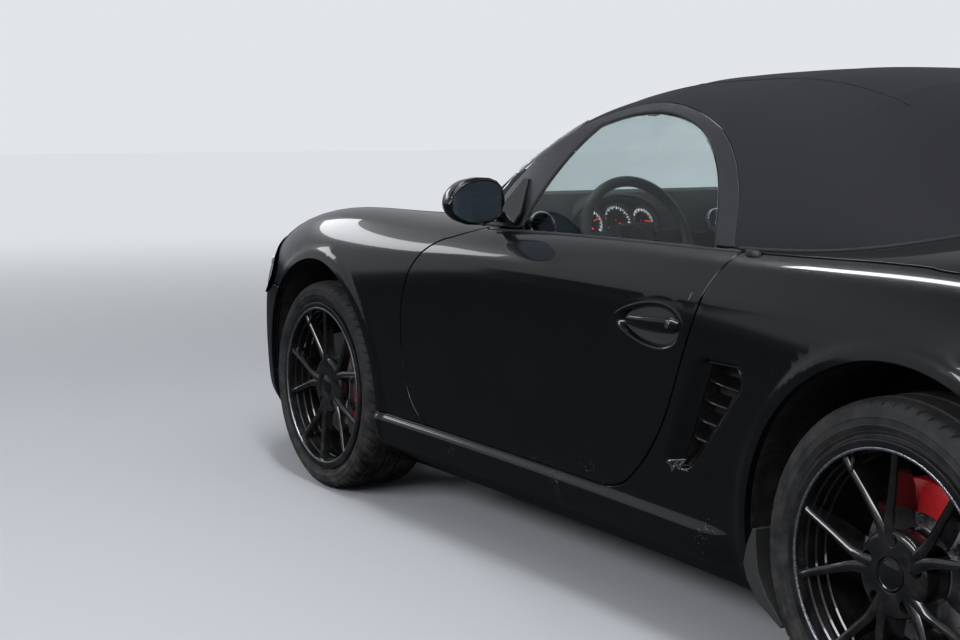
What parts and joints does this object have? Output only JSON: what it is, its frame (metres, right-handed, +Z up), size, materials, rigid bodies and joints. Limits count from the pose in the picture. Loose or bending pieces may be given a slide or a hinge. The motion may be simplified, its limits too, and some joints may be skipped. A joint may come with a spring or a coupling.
{
  "type": "convertible car",
  "caption": "Low mid-engined two-seat roadster with its fabric roof closed, side intakes behind the doors, forked-spoke wheels, and doors, lids, wheels and steering that move.",
  "frame": {"origin": "on the ground under the middle of the car's bounding box", "axes": "+X towards the nose, +Y to the car's left, +Z up"},
  "size_m": [4.342, 1.972, 1.2945],
  "materials": {
    "paint": "high gloss black",
    "dark_metal": "matte black underbody",
    "arch_trim": "satin dark grey",
    "roof_cloth": "woven black cloth",
    "glass": "clear, slightly green",
    "lamp": "clear lamp cover",
    "tail_lamp": "red lamp cover",
    "black_plastic": "fine grain",
    "dash": "soft grain",
    "seat_leather": "grained black",
    "rubber": "worn rubber",
    "rim": "gloss black",
    "disc": "turned",
    "caliper": "gloss red",
    "carrier": "cast",
    "engine": "cast",
    "exhaust": "brushed"
  },
  "bodies": {
    "body": {"front_bumper": "paint", "front_grilles": "black_plastic", "front_fenders": "paint", "cowl": "black_plastic", "front_tub": "dark_metal", "floor_pan": "dark_metal", "sills": "paint", "side_arches": "arch_trim", "soft_top": "roof_cloth", "windscreen_frame": "paint", "windscreen_glass": "glass", "rear_window": "glass", "side_intakes": "black_plastic", "rear_bumper": "paint", "rear_quarters": "paint", "rear_tub": "dark_metal", "rear_deck": "paint", "engine": "engine", "exhaust": "exhaust", "dashboard": "dash", "seats": "seat_leather", "centre_console": "dash", "headlamps": "lamp", "tail_lamps": "tail_lamp", "front_axle": "carrier", "rear_axle": "carrier", "rear_calipers": "caliper"},
    "door_left": {"door_left": "paint", "door_glass_left": "glass", "mirror_left": "paint"},
    "door_right": {"door_right": "paint", "door_glass_right": "glass", "mirror_right": "paint"},
    "bonnet": {"bonnet": "paint"},
    "boot_lid": {"boot_lid": "paint"},
    "steering_wheel": {"steering_wheel": "seat_leather"},
    "knuckle_left": {"knuckle_left": "carrier", "front_caliper_left": "caliper"},
    "knuckle_right": {"knuckle_right": "carrier", "front_caliper_right": "caliper"},
    "wheel_front_left": {"front_tyre_left": "rubber", "front_rim_left": "rim", "front_disc_left": "disc"},
    "wheel_front_right": {"front_tyre_right": "rubber", "front_rim_right": "rim", "front_disc_right": "disc"},
    "wheel_rear_left": {"rear_tyre_left": "rubber", "rear_rim_left": "rim", "rear_disc_left": "disc"},
    "wheel_rear_right": {"rear_tyre_right": "rubber", "rear_rim_right": "rim", "rear_disc_right": "disc"}
  },
  "joints": [
    {"name": "door_left_hinge", "type": "hinge", "parent": "body", "child": "door_left", "pos_m": [0.65, 0.864, 0.55], "axis": [0, 0, -1], "range_deg": [0, 62]},
    {"name": "door_right_hinge", "type": "hinge", "parent": "body", "child": "door_right", "pos_m": [0.65, -0.864, 0.55], "axis": [0, 0, 1], "range_deg": [0, 62]},
    {"name": "bonnet_hinge", "type": "hinge", "parent": "body", "child": "bonnet", "pos_m": [0.742, 0, 0.886], "axis": [0, -1, 0], "range_deg": [0, 60]},
    {"name": "boot_lid_hinge", "type": "hinge", "parent": "body", "child": "boot_lid", "pos_m": [-1.29, 0, 0.975], "axis": [0, 1, 0], "range_deg": [0, 60]},
    {"name": "steer_left", "type": "hinge", "parent": "body", "child": "knuckle_left", "pos_m": [1.288, 0.683, 0.3235], "axis": [0, 0, 1], "range_deg": [-33, 33]},
    {"name": "steer_right", "type": "hinge", "parent": "body", "child": "knuckle_right", "pos_m": [1.288, -0.683, 0.3235], "axis": [0, 0, 1], "range_deg": [-33, 33]},
    {"name": "steering_wheel_turn", "type": "hinge", "parent": "body", "child": "steering_wheel", "pos_m": [0.33, 0.37, 0.828], "axis": [-0.9397, 0, 0.342], "range_deg": [-470, 470]},
    {"name": "spin_front_left", "type": "hinge", "parent": "knuckle_left", "child": "wheel_front_left", "pos_m": [1.288, 0.743, 0.3235], "axis": [0, 1, 0], "continuous": true},
    {"name": "spin_front_right", "type": "hinge", "parent": "knuckle_right", "child": "wheel_front_right", "pos_m": [1.288, -0.743, 0.3235], "axis": [0, 1, 0], "continuous": true},
    {"name": "spin_rear_left", "type": "hinge", "parent": "body", "child": "wheel_rear_left", "pos_m": [-1.127, 0.764, 0.334], "axis": [0, 1, 0], "continuous": true},
    {"name": "spin_rear_right", "type": "hinge", "parent": "body", "child": "wheel_rear_right", "pos_m": [-1.127, -0.764, 0.334], "axis": [0, 1, 0], "continuous": true}
  ],
  "couplings": [
    {"joint": "steer_right", "follows": "steer_left", "ratio": 1},
    {"joint": "steering_wheel_turn", "follows": "steer_left", "ratio": 14}
  ]
}
